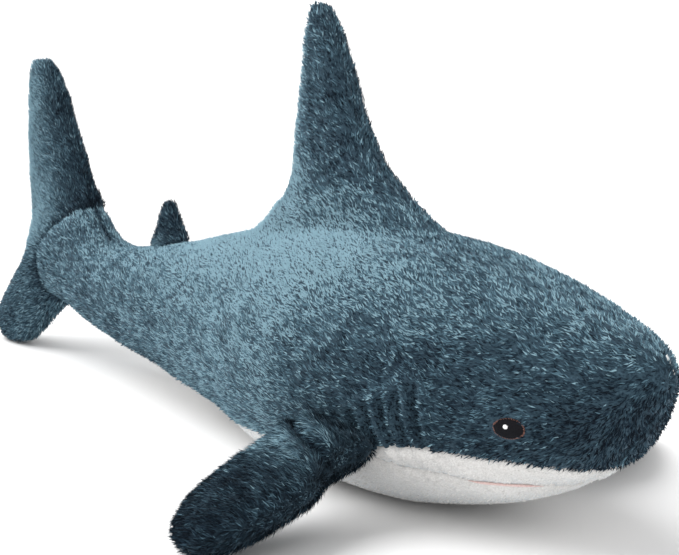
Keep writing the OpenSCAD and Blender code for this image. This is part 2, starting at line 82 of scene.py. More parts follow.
def in_scene(name, data):
    thing = bpy.data.objects.new(name, data)
    scene.collection.objects.link(thing)
    return thing


def aimed(name, data, place, look):
    thing = in_scene(name, data)
    thing.location = place
    thing.rotation_euler = look.to_track_quat("-Z", "Y").to_euler()
    return thing


def make_camera():
    look = Vector((-0.8234, 0.5343, -0.1911))
    cam = aimed("camera", bpy.data.cameras.new("camera"), (1.377, -0.846, 0.405), look)
    cam.data.lens = 104.1
    cam.data.sensor_width = 36
    cam.data.shift_x = 0.056
    cam.data.shift_y = 0.063
    cam.data.clip_end = 200
    scene.camera = cam


def make_light(name, kind, place, target, strength, size):
    light = bpy.data.lights.new(name, kind)
    light.energy = strength
    if kind == "SUN":
        light.angle = size
    else:
        light.size = size
    aimed(name, light, place, Vector(target) - Vector(place))


def make_stage():
    world = bpy.data.worlds.new("studio")
    scene.world = world
    world.use_nodes = True
    world.node_tree.nodes["Background"].inputs["Color"].default_value = (1, 1, 1, 1)
    world.node_tree.nodes["Background"].inputs["Strength"].default_value = 0.8
    make_light("key", "SUN", (-1.1, -1.1, 2.4), (0.1, 0, 0.1), 2.9, math.radians(60))
    make_light("fill", "AREA", (2.2, -1.6, 1.4), (0.3, 0, 0.1), 12, 1.6)
    half = 40
    corners = [(-half, -half, 0), (half, -half, 0), (half, half, 0), (-half, half, 0)]
    mesh = bpy.data.meshes.new("floor")
    mesh.from_pydata(corners, [], [(0, 1, 2, 3)])
    material = bpy.data.materials.new("floor")
    material.use_nodes = True
    shader = material.node_tree.nodes["Principled BSDF"]
    shader.inputs["Base Color"].default_value = (0.92, 0.92, 0.92, 1)
    shader.inputs["Roughness"].default_value = 0.9
    mesh.materials.append(material)
    floor = in_scene("floor", mesh)


make_camera()
make_stage()
scene.view_settings.view_transform = "Standard"


# ---- Materials ----

def plain(name, colour, sheen):
    material = bpy.data.materials.new(name)
    material.use_nodes = True
    shader = material.node_tree.nodes["Principled BSDF"]
    shader.inputs["Base Color"].default_value = (*colour, 1)
    shader.inputs["Roughness"].default_value = 0.9
    shader.inputs["Specular IOR Level"].default_value = 0.12
    shader.inputs["Sheen Weight"].default_value = sheen
    shader.inputs["Sheen Roughness"].default_value = 0.45
    shader.inputs["Sheen Tint"].default_value = (0.55, 0.8, 1.0, 1)
    return material


def plush(name, dark, light, grain, bump, stretch=(1, 1, 1), sheen=0.3):
    """Cloth with a pile: mottled from dark to light in streaks of grain metres, with a bump of them."""
    material = plain(name, light, sheen)
    links = material.node_tree.links
    shader = material.node_tree.nodes["Principled BSDF"]

    def node(kind, **values):
        made = material.node_tree.nodes.new("ShaderNode" + kind)
        for socket, value in values.items():
            made.inputs[socket].default_value = value
        return made

    place = node("TexCoord").outputs["Object"]
    scale = node("Mapping", Scale=[s / grain for s in stretch])
    fine = node("TexNoise", Scale=1, Detail=3)
    broad = node("TexNoise", Scale=22, Detail=2)
    links.new(place, scale.inputs["Vector"])
    links.new(scale.outputs["Vector"], fine.inputs["Vector"])
    links.new(place, broad.inputs["Vector"])
    both = node("Math")
    both.operation = "MULTIPLY_ADD"
    both.inputs[1].default_value = 0.45
    links.new(broad.outputs["Fac"], both.inputs[0])
    links.new(fine.outputs["Fac"], both.inputs[2])
    ramp = node("ValToRGB")
    for end, position, colour in zip(ramp.color_ramp.elements, (0.52, 0.92), (dark, light)):
        end.position = position
        end.color = (*colour, 1)
    links.new(both.outputs["Value"], ramp.inputs["Fac"])
    links.new(ramp.outputs["Color"], shader.inputs["Base Color"])
    rise = node("Bump", Strength=bump, Distance=0.6 * MM)
    links.new(fine.outputs["Fac"], rise.inputs["Height"])
    links.new(rise.outputs["Normal"], shader.inputs["Normal"])
    return material


LOOKS = {  # slot: dark and light colour, grain, bump, stretch of the grain, sheen
    "blue_plush": ((0.006, 0.014, 0.024), (0.040, 0.074, 0.100), 1.6 * MM, 0.6, (0.35, 1, 1)),
    "dark_blue_plush": ((0.004, 0.009, 0.016), (0.026, 0.050, 0.070), 1.6 * MM, 0.6, (0.5, 0.7, 1)),
    "white_plush": ((0.56, 0.545, 0.53), (0.72, 0.71, 0.695), 1.2 * MM, 0.35),
    "pink_plush": ((0.62, 0.42, 0.40), (0.78, 0.62, 0.58), MM, 0.4),
    "fibre": ((0.75, 0.75, 0.73), (0.93, 0.93, 0.91), 2.0 * MM, 0.8),
    "black_thread": ((0.002, 0.002, 0.003), (0.008, 0.007, 0.009), 0.5 * MM, 0.4, (1, 1, 1), 0.1),
    "brown_thread": ((0.10, 0.040, 0.030), (0.34, 0.17, 0.13), 0.6 * MM, 0.4, (1, 1, 1), 0.1),
    "white_thread": ((0.70, 0.70, 0.70), (0.92, 0.92, 0.92), 0.5 * MM, 0.3, (1, 1, 1), 0.1),
    "blue_thread": ((0.010, 0.018, 0.030), (0.035, 0.06, 0.09), 0.5 * MM, 0.4, (1, 1, 1), 0.1),
    "label_ribbon": ((0.74, 0.74, 0.72), (0.86, 0.86, 0.84), 0.7 * MM, 0.3, (1, 6, 1), 0.0),
}
MATERIALS = {slot: plush(slot, *look) for slot, look in LOOKS.items()}


# ---- Mesh helpers ----

def make_object(name, verts, faces, materials, smooth=True):
    mesh = bpy.data.meshes.new(name)
    mesh.from_pydata([tuple(v) for v in verts], [], [tuple(f) for f in faces])
    for material in materials:
        mesh.materials.append(material)
    mesh.polygons.foreach_set("use_smooth", [smooth] * len(mesh.polygons))
    mesh.update()
    return in_scene(name, mesh)


def arrays(mesh):
    """Points and faces, all of them quads, of a mesh as numpy arrays."""
    co = np.zeros(len(mesh.vertices) * 3)
    mesh.vertices.foreach_get("co", co)
    return co.reshape(-1, 3), np.array([list(p.vertices) for p in mesh.polygons])


def grid_faces(rows, size, closed=True):
    """Quads between rows of size points. In a closed row the last point joins the first."""
    faces = []
    for i in range(rows - 1):
        for j in range(size if closed else size - 1):
            k = (j + 1) % size
            faces.append((i * size + j, i * size + k, (i + 1) * size + k, (i + 1) * size + j))
    return faces


def node_points(name):
    return np.array([v.co for v in frame["nodes"][name].data.vertices])


def hit(tree, origin, direction):
    return tree.ray_cast(Vector(origin), Vector(direction).normalized())[0]


def clamp(x):
    return np.clip(x, 0, 1)


def unit(rows):
    return rows / np.linalg.norm(rows, axis=1, keepdims=True).clip(1e-12)


def sides_of(faces):
    """The two points of each side of each face, in the face's own order."""
    return np.vstack([faces[:, [i, (i + 1) % 4]] for i in range(4)])


def edges_of(faces):
    return np.unique(np.sort(sides_of(faces), axis=1), axis=0)


def smoothed(co, edges, rounds, weight=None):
    """Moves each point towards the mean of its neighbours."""
    n = len(co)
    count = np.bincount(edges.ravel(), minlength=n)[:, None].clip(1)
    step = 0.5 if weight is None else 0.5 * weight[:, None]
    for _ in range(rounds):
        total = np.zeros_like(co)
        for axis in range(3):
            total[:, axis] = np.bincount(edges[:, 0], co[edges[:, 1], axis], n)
            total[:, axis] += np.bincount(edges[:, 1], co[edges[:, 0], axis], n)
        co = co + step * (total / count - co)
    return co


def normals_of(co, faces):
    n = np.zeros_like(co)
    cross = np.cross(co[faces[:, 2]] - co[faces[:, 0]], co[faces[:, 3]] - co[faces[:, 1]])
    for i in range(4):
        for axis in range(3):
            n[:, axis] += np.bincount(faces[:, i], cross[:, axis], len(co))
    return unit(n)


def hash_noise(p, size, seed=0):
    """Smooth noise from -1 to 1 at the points p, with blobs of the given size."""
    q = p / size + seed * 17.31
    cell = np.floor(q).astype(int)
    f = q - cell
    f = f * f * (3 - 2 * f)
    total = np.zeros(len(p))
    for corner in range(8):
        bits = np.array([corner & 1, corner >> 1 & 1, corner >> 2 & 1])
        c = (cell + bits).astype(np.uint64)
        h = c[:, 0] * np.uint64(73856093) ^ c[:, 1] * np.uint64(19349663) ^ c[:, 2] * np.uint64(83492791)
        h = (h * np.uint64(2654435761) >> np.uint64(7)) & np.uint64(0xFFFF)
        share = np.prod(np.where(bits, f, 1 - f), axis=1)
        total += share * (h.astype(float) / 32767.5 - 1)
    return total


def remeshed(name, sources, voxel):
    """One closed skin round several closed meshes."""
    thing = make_object(name + "_part", *joined(sources), [])
    bpy.context.view_layer.objects.active = thing
    thing.data.remesh_voxel_size = voxel
    thing.data.remesh_voxel_adaptivity = 0
    bpy.ops.object.voxel_remesh()
    co, faces = arrays(thing.data)
    bpy.data.objects.remove(thing)
    return largest_part(co, faces)


def part_labels(count, edges):
    """A number for each point that is the same for all points joined by edges."""
    label = np.arange(count)
    while True:
        low = np.minimum(label[edges[:, 0]], label[edges[:, 1]])
        new = label.copy()
        np.minimum.at(new, edges[:, 0], low)
        np.minimum.at(new, edges[:, 1], low)
        new = new[new]
        if (new == label).all():
            return label
        label = new


def largest_part(co, faces):
    label = part_labels(len(co), edges_of(faces))
    sizes = np.bincount(label, minlength=len(co))
    keep = label == sizes.argmax()
    index = np.cumsum(keep) - 1
    return co[keep], index[faces[keep[faces[:, 0]]]]


def node_mesh(name):
    mesh = frame["nodes"][name].data
    return [tuple(v.co) for v in mesh.vertices], [tuple(p.vertices) for p in mesh.polygons]


def joined(parts):
    verts, faces = [], []
    for more_verts, more_faces in parts:
        base = len(verts)
        verts += list(more_verts)
        faces += [tuple(base + i for i in f) for f in more_faces]
    return verts, faces


def own_axes(points):
    """The axes of a cloud of points, from its thinnest way to its longest."""
    return np.linalg.eigh(np.cov((points - points.mean(0)).T))[1].T


def snapped(co, edges, field):
    """Slides points along edges onto the line where the field is 0, so that a seam runs along edges."""
    value = field(co)
    a, b = edges[:, 0], edges[:, 1]
    cut = (value[a] * value[b] < 0) & (np.abs(value[a] - value[b]) < 4 * VOXEL)
    a, b = a[cut], b[cut]
    near = np.abs(value[a]) < np.abs(value[b])
    first, other = np.where(near, a, b), np.where(near, b, a)
    share = value[first] / (value[first] - value[other])
    moved = co.copy()
    moved[first] = co[first] + share[:, None] * (co[other] - co[first])
    return moved


def distance_to(co, points, reach):
    """Distance from each point of co to the nearest of points, up to reach."""
    tree = KDTree(len(points))
    for i, p in enumerate(points):
        tree.insert(p, i)
    tree.balance()
    out = np.full(len(co), reach)
    low, high = points.min(0) - reach, points.max(0) + reach
    for i in np.nonzero(((co > low) & (co < high)).all(1))[0]:
        out[i] = min(reach, tree.find(co[i])[2])
    return out


def bell(distance, width):
    return np.exp(-((distance / width) ** 2))


def fin_form(name, nodes, rounds, puff):
    """One closed skin round a fin's panels, softened, with its middle puffed out."""
    co, faces = remeshed(name, [node_mesh(n) for n in nodes], FIN_VOXEL)
    edges = edges_of(faces)
    co = smoothed(co, edges, rounds)
    normals = normals_of(co, faces)
    return co + puff * normals, faces, edges


def chord_ends(co, foot, tip, count):
    """Levels from foot to tip, and a fin's greatest and least x near each."""
    levels = np.linspace(foot, tip, count)
    half = (levels[1] - levels[0]) / 2
    near = [np.abs(co[:, 2] - z) < half for z in levels]
    return levels, np.array([co[m, 0].max() for m in near]), np.array([co[m, 0].min() for m in near])


def narrowed(co, foot, amount, power):
    """The points' x with the chord drawn in about its middle, more towards the tip."""
    levels, front, back = chord_ends(co, foot, co[:, 2].max() - 2 * MM, 18)
    middle = np.interp(co[:, 2], levels, (front + back) / 2)
    share = clamp((co[:, 2] - foot) / (levels[-1] - foot))
    return middle + (co[:, 0] - middle) * (1 - amount * share ** power)


def where_kinds_meet(count, faces, kind):
    """Which points lie between faces of different kinds."""
    low, high = np.full(count, kind.max()), np.full(count, kind.min())
    for i in range(4):
        np.minimum.at(low, faces[:, i], kind)
        np.maximum.at(high, faces[:, i], kind)
    return low != high


def cut_in_two(co, faces, edges, field):
    """Snaps the mesh onto field = 0 and says which faces are over it, and how far it is."""
    co = snapped(co, edges, field)
    over = field(co[faces].mean(1)) > 0
    seam = where_kinds_meet(len(co), faces, over.astype(int))
    return co, over, distance_to(co, co[seam], 25 * MM)


def inflated(co, faces, away, most):
    """Lets the stuffing press the cloth out between its seams, by cloth simulation, by up to most."""
    thing = make_object("inflating", co, faces.tolist(), [])
    held = thing.vertex_groups.new(name="seams")
    held.add([int(i) for i in np.nonzero(away < 2 * MM)[0]], 1.0, "REPLACE")
    cloth = thing.modifiers.new("cloth", "CLOTH")
    cloth.settings.vertex_group_mass = "seams"
    cloth.settings.use_pressure = True
    cloth.settings.uniform_pressure_force = 4
    cloth.settings.effector_weights.gravity = 0
    cloth.settings.bending_stiffness = 2
    cloth.point_cache.frame_end = SIM_FRAMES
    for frame_number in range(1, SIM_FRAMES + 1):
        scene.frame_set(frame_number)
    shape = thing.evaluated_get(bpy.context.evaluated_depsgraph_get()).to_mesh()
    pressed = arrays(shape)[0]
    bpy.data.objects.remove(thing)
    scene.frame_set(1)
    move = pressed - co
    size = np.linalg.norm(move, axis=1, keepdims=True).clip(1e-9)
    return co + move * np.minimum(1, most / size)


def seam_relief(co, away):
    """Groove and puckers along a fin's edge seam, on soft lumps."""
    lumps = MM * hash_noise(co, 42 * MM, 51) + 0.6 * MM * hash_noise(co, 18 * MM, 52)
    groove = -1.2 * MM * bell(away, 2.2 * MM)
    run = co[:, 0] + co[:, 2] + 3 * MM * hash_noise(co, 20 * MM, 53)
    pucker = 0.6 * MM * bell(away - 7 * MM, 6 * MM) * np.sin(2 * math.pi * run / (13 * MM))
    return lumps + groove + pucker


# ---- The tail fin's form ----

def tail_middle(p):
    return p[:, 1] - fin_lean * (p[:, 2] - tail_root_z)


TAIL_NODES = ("right_tail_fin_panel", "left_tail_fin_panel", "tail_fin_filling")
tail_co, tail_faces, tail_edges = fin_form("tail_fin", TAIL_NODES, 14, 0.4 * MM)
behind = tail_co[:, 0] < tail_hinge_x
squeeze = np.interp(tail_co[behind, 2], (0.18, 0.28), (0.87, 0.94))
tail_co[behind, 0] = tail_hinge_x + squeeze * (tail_co[behind, 0] - tail_hinge_x)
tail_co[:, 0] = narrowed(tail_co, tail_root_z, 0.48, 3.5)
tail_co[:, 0] -= 5 * MM * clamp((tail_co[:, 2] - 0.12) / 0.05)
tail_co, _, tail_away = cut_in_two(tail_co, tail_faces, tail_edges, tail_middle)
tail_co = inflated(tail_co, tail_faces, tail_away, 2.5 * MM)
tail_top = tail_co[:, 2].max()


# ---- The body's smooth form, measured from the CAD ----

def middle_of(values, width):
    """Running median, which drops the odd ray that slipped through a seam."""
    padded = np.pad(values, width // 2, mode="edge")
    return np.nanmedian([padded[i:i + len(values)] for i in range(width)], axis=0)


LEFT_CLOTH = "left_side_panel", "left_tail_panel", "belly_panel", "tail_belly_panel", "left_lip_panel"


def body_form():
    """Radii of the body at stations and angles, from rays onto the left side's cloth."""
    cloth = BVHTree.FromPolygons(*joined([node_mesh(name) for name in LEFT_CLOTH]))
    stations = nose_x - (nose_x - stock_end) * (1 - np.linspace(0, 1, 110)) ** 1.25
    stations = np.clip(stations, stock_end + MM, nose_x - 1.2 * MM)
    angles = np.radians(np.linspace(-88, 88, 45))
    beside = 4 * MM  # clear of the gap along the middle seam
    middles = []
    for x in stations:
        up = hit(cloth, (x, beside, 1), (0, 0, -1))
        down = hit(cloth, (x, beside, -1), (0, 0, 1))
        middles.append((up.z + down.z) / 2 if up and down else np.nan)
    # The round gap at the bend and the closed end aren't part of the cloth's form: they are bridged.
    good = (stations < bend_x - 8 * MM) | (stations > bend_x + 62 * MM)
    good &= stations > stock_end + 18 * MM
    middles = middle_of(np.array(middles), 9)
    middles = np.interp(stations, stations[good], middles[good])
    radii = []
    for x, middle in zip(stations, middles):
        centre = Vector((x, 0, middle))
        ring = []
        for a in angles:
            out = Vector((0, math.cos(a), math.sin(a)))
            spot = hit(cloth, centre + out * 0.4, -out)
            ring.append((spot - centre).length if spot and spot.y > 0 else np.nan)
        radii.append(ring)
    radii = np.array(radii)
    for column in range(len(angles)):
        line = middle_of(radii[:, column], 7)
        fine = good & ~np.isnan(line)
        radii[:, column] = np.interp(stations, stations[fine], line[fine])
    for row in range(len(stations)):
        radii[row] = middle_of(radii[row], 5)
    for _ in range(2):
        radii[1:-1] = (radii[:-2] + 2 * radii[1:-1] + radii[2:]) / 4
        radii[:, 1:-1] = (radii[:, :-2] + 2 * radii[:, 1:-1] + radii[:, 2:]) / 4
    return stations, angles, middles, radii


def lean_foot(x):
    """Height above which the upright fins and the ridge before the tail fin lean."""
    places = (stock_end, stock_end + 0.1, bend_x, bend_x + 0.1)
    return np.interp(x, places, (tail_root_z, 0.7 * back_top, 0.7 * back_top, 0.98 * back_top))


def ridge_lift(x):
    """The back rises in a ridge towards the tail fin's leading edge."""
    share = clamp((stock_end + 0.115 - x) / 0.115)
    return 60 * MM * share ** 2.2


def seam_reach(z):
    """How far the stock's cloth reaches back over the tail fin, in a round seam."""
    return 53 * MM * np.clip(1 - ((z - tail_root_z) / (46 * MM)) ** 2, 0.01, 1) ** 0.65


def body_loft():
    """The body as a closed mesh of rings, with its tail end drawn out over the tail fin's root."""
    stations, angles, middles, radii = body_form()
    rise = clamp(np.sin(angles)) ** 3
    rings = []
    for x, middle, ring in zip(stations, middles, radii):
        y = ring * np.cos(angles) * (1 + 6 * ridge_lift(x) * clamp(np.sin(angles)) ** 2)
        z = middle + ring * np.sin(angles) + ridge_lift(x) * rise
        lean = fin_lean * clamp(z - lean_foot(x))
        half = [(x, a + c, b) for a, b, c in zip(y, z, lean)]
        other = [(x, -a + c, b) for a, b, c in zip(y, z, lean)]
        rings.append(half + other[::-1])
    first = np.array(rings[0])
    extra = []
    rounding = (1.0, 0.45), (0.98, 0.74), (0.92, 0.90), (0.75, 0.96), (0.45, 0.99), (0.2, 1.0)
    for share, width in rounding:
        ring = first.copy()
        ring[:, 0] -= share * seam_reach(first[:, 2])
        ring[:, 2] = tail_root_z + (first[:, 2] - tail_root_z) * (1 - 0.1 * share)
        centre = fin_lean * (ring[:, 2] - tail_root_z) * share
        ring[:, 1] = centre + width * (first[:, 1] - centre)
        extra.append([tuple(p) for p in ring])
    rings = extra + rings
    n = len(rings[0])
    verts = [p for ring in rings for p in ring]
    faces = grid_faces(len(rings), n)
    verts += [tuple(np.mean(rings[0], axis=0)), (nose_x, 0, middles[-1])]
    for j in range(n):
        k = (j + 1) % n
        faces.append((len(verts) - 2, k, j))
        faces.append((len(verts) - 1, (len(rings) - 1) * n + j, (len(rings) - 1) * n + k))
    return verts, faces


TORSO_FINS = ("right_dorsal_panel", "left_dorsal_panel", "dorsal_filling")
ROOT_SEAM = (  # z and x of the round seam between the stock and the tail fin
    (0.050, 0.056, 0.062, 0.071, 0.088, 0.104, 0.128, 0.143, 0.153),
    (-0.322, -0.333, -0.350, -0.364, -0.378, -0.375, -0.349, -0.319, -0.297),
)


def over_root(p):
    """Distance in front of the seam between the stock and the tail fin."""
    return p[:, 0] - np.interp(p[:, 2], *ROOT_SEAM)


torso_sources = [body_loft(), (tail_co, tail_faces.tolist())] + [node_mesh(n) for n in TORSO_FINS]
torso_co, torso_faces = remeshed("torso", torso_sources, VOXEL)
torso_edges = edges_of(torso_faces)
torso_co = smoothed(torso_co, torso_edges, 6)
# The dorsal fin is slimmer than the CAD's and sweeps back a little.
dorsal_foot = back_top + 2 * MM
on_dorsal = (torso_co[:, 2] > dorsal_foot) & (torso_co[:, 0] > 0)
torso_co[on_dorsal, 0] = narrowed(torso_co[on_dorsal], dorsal_foot, 0.27, 0.45)
rise = clamp((torso_co[on_dorsal, 2] - dorsal_foot) / (60 * MM))
torso_co[on_dorsal, 0] -= 3 * MM * rise
# Its tip is rounded off.
TIP_ROUND = 10 * MM
up_tip = (torso_co[:, 2] - torso_co[on_dorsal, 2].max()) / TIP_ROUND + 1
at_tip = on_dorsal & (up_tip > 0)
tip_x = torso_co[at_tip, 0].mean()
torso_co[at_tip, 0] = tip_x + np.sqrt(1 - 0.9 * up_tip[at_tip] ** 2) * (torso_co[at_tip, 0] - tip_x)
by_root = clamp(1.6 - np.abs(over_root(torso_co)) / (20 * MM)) * (torso_co[:, 0] < TAIL_ZONE)
torso_co = smoothed(torso_co, torso_edges, 12, by_root)


def slice_edge(node, x, pick):
    """Lowest or highest z of a CAD node where the plane at x cuts it; pick is min or max."""
    co, edges = node_edges[node]
    a, b = co[edges[:, 0]], co[edges[:, 1]]
    cut = (a[:, 0] - x) * (b[:, 0] - x) < 0
    if not cut.any():
        return np.nan
    a, b = a[cut], b[cut]
    share = (x - a[:, 0]) / (b[:, 0] - a[:, 0])
    return pick(a[:, 2] + share * (b[:, 2] - a[:, 2]))


node_edges = {}
for name in ("left_side_panel", "left_tail_panel", "belly_panel"):
    edges = [list(e.vertices) for e in frame["nodes"][name].data.edges]
    node_edges[name] = node_points(name), np.array(edges)

lip_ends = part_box("left_lip_panel")[0].x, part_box("left_lip_panel")[1].x
belly_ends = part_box("tail_belly_panel")[0].x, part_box("belly_panel")[1].x
along = np.arange(stock_end, nose_x, 4 * MM)
seam_line = [
    np.nanmin([slice_edge("left_side_panel", x, min), slice_edge("left_tail_panel", x, min), 1])
    for x in along
]
lip_line = [slice_edge("belly_panel", x, max) for x in along]
fine = (along < bend_x - 5 * MM) | (along > bend_x + 30 * MM)
seam_line = np.interp(along, along[fine], middle_of(np.array(seam_line), 3)[fine])
lip_line = np.interp(along, along[~np.isnan(lip_line)], np.array(lip_line)[~np.isnan(lip_line)])
# The blue pile hangs over the seam behind the pectoral fins, so the cloth's edge shows lower there.
seam_line -= MM * np.interp(
    along, (stock_end, -0.27, -0.20, 0.02, 0.16, 0.285, 0.32, 0.345), (13, 8, 4, 9, 8, 5, 2, 0))
# The white of the lip runs on a little under the snout.
snout_seam = np.interp(
    along, (0.436, 0.444, 0.451, 0.459, 0.466), (0.0655, 0.067, 0.071, 0.078, 0.083))
seam_line = np.where(along > 0.43, snout_seam, seam_line)


def over_seam(p):
    """Height over the seam between the blue and the white cloth."""
    all_blue = (p[:, 0] > lip_ends[1] + 29 * MM) | (p[:, 0] < belly_ends[0])
    return np.where(all_blue, 1, p[:, 2] - np.interp(p[:, 0], along, seam_line))


def over_lip(p):
    """Height over the seam between the belly and the lip."""
    no_lip = (p[:, 0] < lip_ends[0]) | (over_seam(p) > 0.02)
    over = np.where(p[:, 0] > belly_ends[1], 1, p[:, 2] - np.interp(p[:, 0], along, lip_line))
    return np.where(no_lip, -1, over)


def over_middle(p):
    """Distance to the left of the seam that halves the body and its leaning upright fins."""
    on_fin = clamp((stock_end - p[:, 0]) / (30 * MM))
    under = on_fin * np.minimum(0, p[:, 2] - tail_root_z)
    return p[:, 1] - fin_lean * (np.maximum(0, p[:, 2] - lean_foot(p[:, 0])) + under)


def segment_distance(co, a, b):
    """Distance from the segment a-b, and the share along it."""
    d = b - a
    share = clamp((co - a) @ d / (d @ d))
    return np.linalg.norm(co - a - share[:, None] * d, axis=1), share


def parts_of(node):
    """The separate solids of a CAD node, as lists of points."""
    co = node_points(node)
    keys = {}
    same = np.array([keys.setdefault(tuple(np.round(p, 6)), len(keys)) for p in co])
    edges = np.array([[same[i] for i in e.vertices] for e in frame["nodes"][node].data.edges])
    label = part_labels(len(keys), edges)
    return [co[label[same] == k] for k in np.unique(label)]


def gill_lines():
    lines = []
    for side in SIDES:
        for points in parts_of(side + "_gill_stitches"):
            low = points[points[:, 2] < points[:, 2].min() + MM].mean(0)
            high = points[points[:, 2] > points[:, 2].max() - MM].mean(0)
            lines.append((low, high))
    return lines


# ---- Eyes: where they are, from the CAD ----

def eye_frame(side):
    """Middle, long axis, short axis, outward normal and half sizes of an embroidered eye."""
    points = node_points(side + "_eye_ring")
    middle = (points.max(0) + points.min(0)) / 2
    normal, short, long = own_axes(points)
    normal = normal * np.sign(normal[1] * SIDES[side])
    long = long * np.sign(long[0])
    short = short * np.sign(short[2])
    half_long = np.abs((points - middle) @ long).max()
    half_short = np.abs((points - middle) @ short).max()
    return middle, long, short, normal, half_long, half_short


def in_eye(eye, p, margin):
    middle, long, short, normal, half_long, half_short = eye
    d = p - middle
    over = ((d @ long) / (half_long + margin)) ** 2 + ((d @ short) / (half_short + margin)) ** 2
    return (over < 1) & (np.abs(d @ normal) < 15 * MM)


eye_frames = [eye_frame(side) for side in SIDES]


# ---- The torso: one closed form, cut along its seams into the pieces of cloth ----

for field in (over_seam, over_lip, over_middle, over_root):
    torso_co = snapped(torso_co, torso_edges, field)
centre = torso_co[torso_faces].mean(1)
is_blue = over_seam(centre) > 0
is_left = over_middle(centre) > 0
is_lip = ~is_blue & (over_lip(centre) > 0)
is_sleeve = centre[:, 0] < stock_end + 6 * MM
is_tail_fin = (over_root(centre) < 0) & (centre[:, 0] < TAIL_ZONE - 20 * MM)
BLEND_REACH = 55 * MM
TORSO = ("trunk", "tail_stock", (bend_x + BLEND_REACH, 0, 0), (bend_x - BLEND_REACH, 0, 0))
SLEEVE = ("tail_stock", "tail_fin", (stock_end + 5 * MM, 0, 0), (tail_hinge_x - 18 * MM, 0, 0))
TORSO_PIECES = {  # slot, bodies and the CAD nodes that a piece replaces
    "right_side": ("blue_plush", TORSO, ("right_side_panel", "right_tail_panel", "right_dorsal_panel")),
    "left_side": ("blue_plush", TORSO, ("left_side_panel", "left_tail_panel", "left_dorsal_panel")),
    "belly": ("white_plush", TORSO, ("belly_panel", "tail_belly_panel")),
    "right_lip": ("white_plush", ("trunk",), ("right_lip_panel",)),
    "left_lip": ("white_plush", ("trunk",), ("left_lip_panel",)),
    "tail_sleeve": ("blue_plush", SLEEVE, ()),
    "right_tail_fin": ("dark_blue_plush", SLEEVE, ("right_tail_fin_panel",)),
    "left_tail_fin": ("dark_blue_plush", SLEEVE, ("left_tail_fin_panel",)),
}
PIECES = list(TORSO_PIECES)
kind = np.where(is_blue, is_left * 1, np.where(is_lip, 3 + is_left, 2))
kind[is_sleeve] = PIECES.index("tail_sleeve")
kind[is_tail_fin] = PIECES.index("right_tail_fin") + is_left[is_tail_fin]

# The sleeve runs on from the sides with no seam between them.
sewn_kind = np.where(kind == PIECES.index("tail_sleeve"), is_left * 1, kind)
on_seam = where_kinds_meet(len(torso_co), torso_faces, sewn_kind)
seam_distance = distance_to(torso_co, torso_co[on_seam], 40 * MM)


def gill_distance(p):
    """Distance in the side view to the nearest gill tuck, and how deep the tuck is there."""
    nearest, depth = np.full(len(p), 1.0), np.zeros(len(p))
    in_zone = (p[:, 0] > GILL_ZONE[0]) & (p[:, 0] < GILL_ZONE[1])
    near = np.nonzero(in_zone & (np.abs(p[:, 1]) > 30 * MM))[0]
    flat = p[near] * (1, 0, 1)
    for low, high in GILL_LINES:
        away, share = segment_distance(flat, low * (1, 0, 1), high * (1, 0, 1))
        closer = (away < nearest[near]) & (p[near, 1] * low[1] > 0)
        nearest[near[closer]] = away[closer]
        depth[near[closer]] = (0.35 + 0.65 * np.sin(math.pi * clamp(share * 0.9 + 0.05)))[closer]
    return nearest, depth


GILL_LINES = gill_lines()


def torso_relief(p):
    """How far the cloth stands out from the smooth form."""
    lumps = 1.3 * MM * hash_noise(p, 80 * MM, 1) + 0.7 * MM * hash_noise(p, 30 * MM, 2)
    groove = -1.6 * MM * bell(seam_distance, 2.6 * MM) - MM * bell(seam_distance, 9 * MM)
    run = p[:, 0] + 0.7 * p[:, 2] + 4 * MM * hash_noise(p, 25 * MM, 3)
    pucker = 0.55 * MM * bell(seam_distance - 6 * MM, 6 * MM) * np.sin(2 * math.pi * run / (14 * MM))
    out = lumps + groove + pucker
    away, fade = gill_distance(p)
    out += fade * (-8 * MM * bell(away, 3.4 * MM) + 3.4 * MM * bell(away - 7 * MM, 3.6 * MM))
    chin = np.array((nose_x - 45 * MM, 0, 75 * MM))
    out += 7 * MM * bell(np.linalg.norm(p - chin, axis=1), 48 * MM)
    for eye in eye_frames:
        out -= MM * bell(np.linalg.norm(p - eye[0], axis=1), 16 * MM)
    # Soft creases round the narrow tail stock.
    for crease in range(BEND_CREASES):
        x = bend_x - 0.03 - 0.045 * crease
        slope = 0.35 * (p[:, 2] - 0.09)
        reach = bell(p[:, 0] - x - slope + 6 * MM * hash_noise(p, 50 * MM, crease), 7 * MM)
        out -= 1.5 * MM * reach * (0.5 + 0.5 * hash_noise(p, 45 * MM, 9 + crease))
    return out


torso_normals = normals_of(torso_co, torso_faces)
relief = torso_relief(torso_co)
torso_co = torso_co + relief[:, None] * torso_normals
torso_co[:, 2] = np.maximum(torso_co[:, 2], 0.4 * MM)
torso_normals = normals_of(torso_co, torso_faces)
torso_tree = BVHTree.FromPolygons([Vector(v) for v in torso_co], torso_faces.tolist())


def follow(thing, bodies):
    """Rides on one body; with more than one, it stays where it is, with its transform applied."""
    if len(bodies) == 1:
        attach(thing, bodies[0])
    else:
        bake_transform(thing)


def add_piece(name, mesh, slot, bodies, nodes):
    """A piece in the material of its slot, on its bodies, in place of these CAD nodes."""
    thing = make_object(name, *mesh, [MATERIALS[slot]])
    follow(thing, bodies)
    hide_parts(*nodes)


def part_of_mesh(co, normals, faces):
    """The points that these faces use, with the faces renumbered."""
    used = np.unique(faces)
    index = np.full(len(co), -1)
    index[used] = np.arange(len(used))
    return co[used], normals[used], index[faces]


def with_thickness(co, normals, faces, depth):
    """A sheet of cloth as a closed solid: its face, its back and the cut edge between them."""
    n = len(co)
    both_ways = set(map(tuple, sides_of(faces).tolist()))
    rim = [(b, a) for a, b in both_ways if (b, a) not in both_ways]
    back = faces[:, ::-1] + n
    edge = [(a, b, b + n, a + n) for a, b in rim]
    return np.vstack([co, co - depth * normals]), faces.tolist() + back.tolist() + edge
